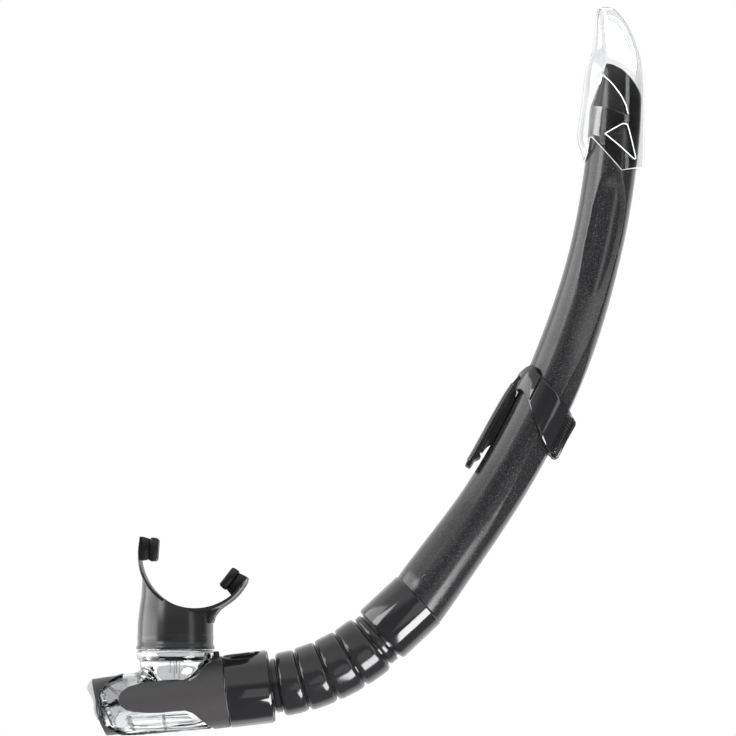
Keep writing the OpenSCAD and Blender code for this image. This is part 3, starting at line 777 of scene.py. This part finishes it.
neck_drop = 23.7
neck_point = joint_at("mouthpiece_turn") - Vector((0, 0, neck_drop * mm))
in_base = Matrix.Translation(neck_point) @ Matrix.Rotation(radians(-base_rise), 4, "Y")
seam_x, cuff_l, cuff_r, tail_hold_r, hose_hold_l = 25.8, 22.2, 18, 13.5, 11.2
cuff_to, hose_from = seam_x + cuff_l, seam_x + hose_hold_l
cuff = lathe([(seam_x + 0.2, tail_hold_r), (seam_x + 0.2, cuff_r - 0.5), (seam_x + 0.6, cuff_r - 0.1),
              (seam_x + 3, cuff_r), (cuff_to - 1.4, cuff_r), (cuff_to - 0.4, cuff_r - 0.4),
              (cuff_to, cuff_r - 1.2), (cuff_to, 14.5), (hose_from, 14.5), (hose_from, tail_hold_r)],
             in_base, 128)
thumb_room = Vector((9.2, 5.2, 2.9)) * mm
for away in (-1, 1):
    recess = bmesh.new()
    bmesh.ops.create_uvsphere(recess, u_segments=48, v_segments=32, radius=1)
    bmesh.ops.scale(recess, vec=thumb_room, verts=recess.verts)
    spot = in_base @ Matrix.Translation(Vector((seam_x + 9.4, 5.4 * away, 17.15)) * mm)
    bmesh.ops.transform(recess, verts=recess.verts,
                        matrix=spot @ Matrix.Rotation(radians(-18 * away), 4, "X"))
    cut(cuff, recess)
new_piece("swivel_cuff", cuff, gloss_dark, "cuff", "gloss_plastic", "hose_cuff")

# ---- Swivel seal ---------------------------------------------------------------
# A ring of black silicone in a groove of the base's tail. It seals the swivel and gives it
# its drag.

black_silicone = finish("black_silicone", base_color=(0.009, 0.0087, 0.0093, 1), roughness=0.23,
                        specular_ior_level=0.42)[0]


def refinish(node, material):
    """Gives an inner CAD node its material."""
    materials = frame["nodes"][node].data.materials
    materials.clear()
    materials.append(material)


refinish("swivel_seal", black_silicone)

# ---- Base body -----------------------------------------------------------------
# The clear polycarbonate housing, moulded in one: a tube with a neck and a rim for the
# mouthpiece, a tail for the cuff and a rounded purge end. A keel, braces in the neck and a
# ladder of raised ribs on each side stiffen it.

on_neck = Matrix.Translation(neck_point)
neck_up = on_neck @ Matrix.Rotation(-pi / 2, 4, "Y")
# The rounded purge end, round this point in the base's frame
end_x, end_z = -22.7, -0.5


def melted(bm, grain_size, rounds):
    """Melts overlapping solids into one skin, and smooths it."""
    item = blank(bm)
    tool = item.modifiers.new("melt", "REMESH")
    tool.mode, tool.voxel_size = "VOXEL", grain_size * mm
    tool = item.modifiers.new("smooth", "SMOOTH")
    tool.factor, tool.iterations = 0.5, rounds
    worked(bm, item)
    return bm


def end_block(radius, far):
    """A deep block whose near side bulges round the purge end."""
    return prism([(-far, -40), (end_x, -40)] + arc(end_x, end_z, radius, 270, 90, -6)
                 + [(end_x, 40), (-far, 40)], in_base, 30)


clear_housing = finish("clear_housing", base_color=(0.74, 0.745, 0.75, 1),
                       transmission_weight=1.0, ior=1.58, roughness=0.02)[0]
# Solid forms that overlap are melted into one housing
shell = lathe([(-36.6, 0), (-36.6, 12.8), (-35, 14.1), (-22, 14.6), (0, 15.2), (14, 16.2),
               (seam_x, 16.2), (seam_x, 0)], in_base, 96, closed=False)
neck = lathe([(2, 0), (2, 13.8), (9, 14.6), (12, 16.4), (15, 17.3), (19, 17.6), (19.4, 19.1),
              (23.4, 19.2), (23.6, 18.9), (23.6, 0)], neck_up, 96, closed=False)
flare = lathe([(8, 0), (8, 19.5), (10, 17.6), (13, 17.1), (13, 0)],
              on_neck @ Matrix.Translation((-1.5 * mm, 0, 0)) @ Matrix.Rotation(-pi / 2, 4, "Y"),
              96, closed=False)
cut(flare, block(-24, 4, 0, 15, on_neck, 12.5), "INTERSECT")
keel = prism([(-27, -15.9), (16, -17.4), (16, -12), (-27, -12)], in_base, 0.9)
brace = [(17.5, 18.5), (17.2, 15), (15.4, 10.5), (14.4, 9.2)]
braces = prism([(-x, z) for x, z in brace] + brace[::-1],
               on_neck @ Matrix.Rotation(pi / 2, 4, "Z"), 0.9)
housing = melted(joined(shell, neck, flare, keel, braces), grain_size=0.75, rounds=5)
# The purge end is rounded off, and the air ways of the tube and the neck are bored
cut(housing, end_block(15.2, 60))
cut(housing, lathe([(-60, 0), (-60, 12.7), (8, 12.7), (16, 11), (60, 11), (60, 0)], in_base, 64,
                   closed=False))
cut(housing, lathe([(0, 0), (0, 12), (10, 12.6), (13, 14.6), (60, 14.6), (60, 0)], neck_up, 64,
                   closed=False))
# The tail turns in the cuff, and the spigot carries the mouthpiece
tail = lathe([(seam_x - 1, 11), (seam_x - 1, 13.3), (seam_x + 10.8, 13.3), (seam_x + 10.8, 11)],
             in_base, 64)
spigot = lathe([(22, 14.6), (22, 16.2), (33.6, 16.2), (33.6, 14.6)], neck_up, 64)
# The ladder's two rails and two rungs, and two short ribs at the end, are cut from a thin skin
ladder = ([(-24, -6.9), (6.4, -9.9), (7.9, -11), (-23.5, -8.3)],
          [(-24.3, -12.1), (14.3, -16.2), (14.8, -17.3), (-21, -13.6)],
          [(-6.4, -8.5), (-5.1, -8.6), (-5.4, -15.1), (-6.7, -15)],
          [(-25, -7), (-23.8, -7), (-20.9, -13.4), (-22.4, -13.4)],
          [(-26.4, 3.5), (-25.7, 4.4), (-31, 10.4), (-31.8, 9.6)],
          [(-27.6, -3.4), (-26.7, -4), (-31.7, -9.6), (-32.5, -8.9)])
raised = []
for line in ladder:
    skin = lathe([(-34, 14), (-22, 14.3), (0, 14.9), (15, 15.7), (15, 16.9), (0, 16.2), (-22, 15.5),
                  (-34, 15.1)], in_base, 96)
    cut(skin, prism(line, in_base, 30), "INTERSECT")
    raised.append(skin)
# Two short upright ribs on each side of the neck
for away in (-1, 1):
    beside = on_neck @ Matrix.Translation((0, 16.9 * mm * away, 0))
    raised += [block(x - 0.35, x + 0.35, 12.4, 19.6, beside, 1) for x in (-1.5, 1.5)]
new_piece("clear_housing", joined(housing, tail, spigot, *raised), clear_housing, "base",
          "clear_plastic", "base_body", crease=40)

# ---- Tongue cover --------------------------------------------------------------
# A matt dark shell pressed over the housing: a full ring next to the cuff that runs out
# into one long tongue on each side, with a small peg on top of the ring.

tongue_top = [(-27.1, 1.6), (-26.9, 3.6), (-25.3, 6.1), (-21.4, 8.2), (-16.5, 9), (-10.2, 9.3),
              (-3.3, 9.3), (2.2, 8.9), (7.6, 7.8), (9.7, 7.4), (13.4, 9.9), (17.3, 13.6), (20.4, 16),
              (21.4, 20)]
tongue_foot = [(19.2, -20), (17.4, -17.2), (15.1, -15.6), (12.1, -12.4), (8.4, -8.5), (5.1, -6.9),
               (0.3, -6.6), (-6.6, -6.5), (-13.4, -5.8), (-20.2, -4.4), (-24.2, -2.8), (-26.5, -0.4)]
jacket = lathe([(-34, 14.3), (-22, 14.7), (0, 15.3), (14, 16.25), (25.65, 16.25), (25.65, 17.4),
                (25.3, 17.7), (14, 17.6), (0, 16.7), (-22, 16), (-34, 15.4)], in_base, 160)
cut(jacket, prism(tongue_top + [(30, 22), (30, -22)] + tongue_foot, in_base, 30), "INTERSECT")
softened(jacket, 0.35, 2, 50)
peg = softened(prism([(20.9, 16.6), (24.3, 16.6), (24.3, 20), (23.9, 20.4), (21.3, 20.4),
                      (20.9, 20)], in_base, 2), 0.3)
matt_grey, graph, shader = finish("matt_dark_plastic", roughness=0.45, specular_ior_level=0.4)
place = graph.node("ShaderNodeTexCoord", output=3)
grain = graph.node("ShaderNodeTexNoise", inputs={"Vector": place, "Scale": 1600, "Detail": 2.0})
low_grain, high_grain = (0.021, 0.0198, 0.021, 1), (0.034, 0.0322, 0.0335, 1)
feed(graph, shader, "Base Color", graph.mix(grain, low_grain, high_grain))
feed(graph, shader, "Normal", graph.node("ShaderNodeBump", inputs={
    "Strength": 0.15, "Distance": 0.00004, "Height": grain}))
new_piece("tongue_jacket", joined(jacket, peg), matt_grey, "base", "tongue_plastic", "tongue_cover",
          crease=40)

# ---- Purge seat ----------------------------------------------------------------
# The clear spoked plate inside the purge end that the valve closes against. It is moulded
# by itself, of the guard's plastic, and pressed in.

refinish("purge_seat", clear_plastic)

# ---- Purge valve ---------------------------------------------------------------
# A disc of black silicone on a stem. The stem is pulled through the seat's middle, and the
# disc lifts off its spokes when water is blown out.

refinish("purge_valve", black_silicone)

# ---- Purge cover ---------------------------------------------------------------
# A matt dark cap over the slanted end, with eight water slots in its face, a gap for the
# silvered trim, and a thin lip round its seam with the housing.

face_x = -39.5
purge_out = Vector(joints["purge_valve_lift"]["axis"])
face_tilt = degrees(asin(-purge_out.z))
facing_out = (in_base @ Matrix.Translation((face_x * mm, 0, 0))
              @ Matrix.Rotation(radians(base_rise - face_tilt - 90), 4, "Y"))
slots, slot_r, slot_half, slots_out = 8, 1.5, 6, 5.4
# The edge between the cap and its silvered trim
crescent_inner = [(-37.4, -3), (-38.3, 4), (-39, 9), (-39.6, 13.2)]


def past_face(depth):
    """A block whose flat side lies at a depth under the cap's slanted face."""
    half = 50 * mm
    outside = bmesh.new()
    bmesh.ops.create_cube(outside, size=2 * half)
    bmesh.ops.transform(outside, verts=outside.verts,
                        matrix=facing_out @ Matrix.Translation((0, 0, half - depth * mm)))
    return outside


def cut_slots(bm):
    """Cuts the water slots that lie round the middle of the face."""
    for k in range(slots):
        spot = (facing_out @ Matrix.Rotation(2 * pi * k / slots, 4, "Z")
                @ Matrix.Translation((slots_out * mm, 0, 0)) @ Matrix.Rotation(pi / 2, 4, "Y"))
        cut(bm, lathe([(-slot_half, 0), (-slot_half, slot_r), (slot_half, slot_r), (slot_half, 0)],
                      spot, 20, closed=False))


lid = lathe([(-48, 0), (-48, 14.1), (-38, 14.35), (-22, 14.65), (-10, 14.7), (-10, 0)], in_base, 128,
            closed=False)
cut(lid, end_block(15.4, 70), "INTERSECT")
cut(lid, prism([(-60, -6.2), (-38.2, -6.2)] + crescent_inner + [(-39.6, 20), (-60, 20)], in_base,
               30))
face_wall = 1.1
bore = lathe([(-48, 0), (-48, 12.7), (0, 12.7), (0, 0)], in_base, 96, closed=False)
cut(bore, past_face(face_wall))
cut(lid, past_face(0))
cut(lid, bore)
cut_slots(lid)
lip = lathe([(-39, 14.5), (-39, 15.2), (-22, 15.4), (-10, 15.5), (-10, 14.5)], in_base, 128)
outer, inner = (arc(end_x, end_z, radius, 96, 264, 4) for radius in (15.7, 15.1))
cut(lip, prism(outer + inner[::-1], in_base, 30), "INTERSECT")
new_piece("purge_lid", joined(softened(lid, 0.4, 2, 50), lip), matt_grey, "base", "tongue_plastic",
          "purge_cover", crease=40)

# ---- Purge rim -----------------------------------------------------------------
# A silvered plate let into the upper part of the cap's face, a crescent when seen from the
# side. It is pressed into the cap, and the water slots go through it too.

silver = finish("silvered_trim", base_color=(0.42, 0.425, 0.43, 1), metallic=0.5, roughness=0.4)[0]
rim = lathe([(-48, 0), (-48, 14.1), (-38, 14.35), (-36, 14.4), (-36, 0)], in_base, 128, closed=False)
# Its slanted outside as seen from the side, from top to bottom
crescent_outer = [(-39.5, 14.4), (-41.1, 12.8), (-42.1, 10.7), (-42.5, 8.4), (-42.5, 5.6),
                  (-42.1, 2.6), (-41, -0.4), (-39.4, -3.5)]
cut(rim, prism([(-38.2, -6.2)] + crescent_inner + crescent_outer, in_base, 30), "INTERSECT")
cut_slots(rim)
# Its rounded outline as seen from above, mirrored across the snorkel
plan = [(-36, 14.6), (-40, 13.8), (-41.8, 11.6), (-42.9, 8), (-43.2, 4), (-43.3, 0)]
cut(rim, prism(plan + [(x, -y) for x, y in plan[-2::-1]],
               in_base @ Matrix.Rotation(pi / 2, 4, "X"), 30), "INTERSECT")
softened(rim, 0.4, 3, 45)
new_piece("purge_trim", rim, silver, "base", "silver_trim", "purge_rim")

# ---- Mouthpiece ----------------------------------------------------------------
# Soft black silicone moulded in one: a neck that grips the spigot, the curved bite flange
# with its air hole, a wing under it, and two bite lugs with a bead at their ends.

# The bow is the arc that the flange follows, round an axis across the snorkel
bow_x, bow_z, bow_r = 10.25, 72.05, 28.35
bow = neck_point + Vector((bow_x, 0, bow_z)) * mm
flange_half, flange_t, flange_bulge, hole_r = 16.5, 1.7, 1.0, 12
flange_middle, flange_reach = radians(249), radians(84.6)

# The flange is a flat grid wound round the bow, with rounded corners and a slight bulge
shield = bmesh.new()
bmesh.ops.create_grid(shield, x_segments=72, y_segments=30, size=1)
for vert in shield.verts:
    u, v = vert.co.x, vert.co.y
    angle = flange_middle + flange_reach * (1 - 0.10 * abs(v) ** 4) * u
    across = flange_half * (1 - 0.16 * abs(u) ** 5) * v
    r = bow_r - 0.4 + flange_bulge * (1 - v * v)
    vert.co = bow + Vector((r * cos(angle), across, r * sin(angle))) * mm
bmesh.ops.solidify(shield, geom=shield.faces, thickness=flange_t * mm)
bmesh.ops.recalc_face_normals(shield, faces=shield.faces)
cut(shield, lathe([(30, 0), (30, hole_r), (64, hole_r), (64, 0)], neck_up, 96, closed=False))


def lug(angle):
    """A bite lug on the inner side of the bow: a plate and its bead."""
    place = Matrix.Translation(bow) @ Matrix.Rotation(radians(180 - angle), 4, "Y")
    plate = softened(prism([(-bow_r - 0.4, -6), (-26.5, -5.9), (-22.6, -5), (-22.6, 5), (-26.5, 5.9),
                            (-bow_r - 0.4, 6)], place, 2.8), 0.5)
    tip = softened(prism([(-23.1, -5.3), (-22.4, -5.9), (-19.8, -5.7), (-18.8, -5), (-18.8, 5),
                          (-19.8, 5.7), (-22.4, 5.9), (-23.1, 5.3)], place, 4.6), 0.7)
    return plate, tip


sleeve = lathe([(24, 16.3), (24, 19.3), (25.2, 19.45), (26, 18.9), (28, 18.75), (36, 18.7), (44, 17.9),
                (50, 17), (60, 16.5), (64, 16.4), (64, hole_r), (34.3, hole_r), (34.3, 16.3)],
               neck_up, 96)
cut(sleeve, prism(arc(bow_x, bow_z, bow_r, 150, 390, 3), on_neck, 40))
wing = softened(prism([(15, 36), (18.9, 37.2), (19.8, 40.4), (22.1, 43.4), (25.9, 46.5), (30.3, 50.3)]
                      + arc(bow_x, bow_z, 27.9, 316, 280, -3), on_neck, 8), 0.5)
new_piece("bite_piece", joined(sleeve, shield, wing, *lug(176), *lug(322)), black_silicone,
          "bite_piece", "black_silicone", "mouthpiece", crease=50)

# ---- Mouthpiece band -----------------------------------------------------------
# A thin glossy tie pulled tight round the sleeve, nearly flush with it. It holds the
# mouthpiece on its spigot, and its latch is on the far side.

tie = lathe([(28.3, 18.4), (28.3, 18.7), (28.5, 18.85), (30.8, 18.85), (31, 18.7), (31, 18.4)],
            neck_up, 96)
latch = softened(block(-2.2, 2.2, 27.7, 31.6, on_neck @ Matrix.Translation((0, 19.6 * mm, 0)), 0.8),
                 0.3)
tie_plastic = finish("tie_plastic", base_color=(0.009, 0.0086, 0.0092, 1), roughness=0.24)[0]
new_piece("tie_band", joined(tie, latch), tie_plastic, "bite_piece", "gloss_plastic",
          "mouthpiece_band")
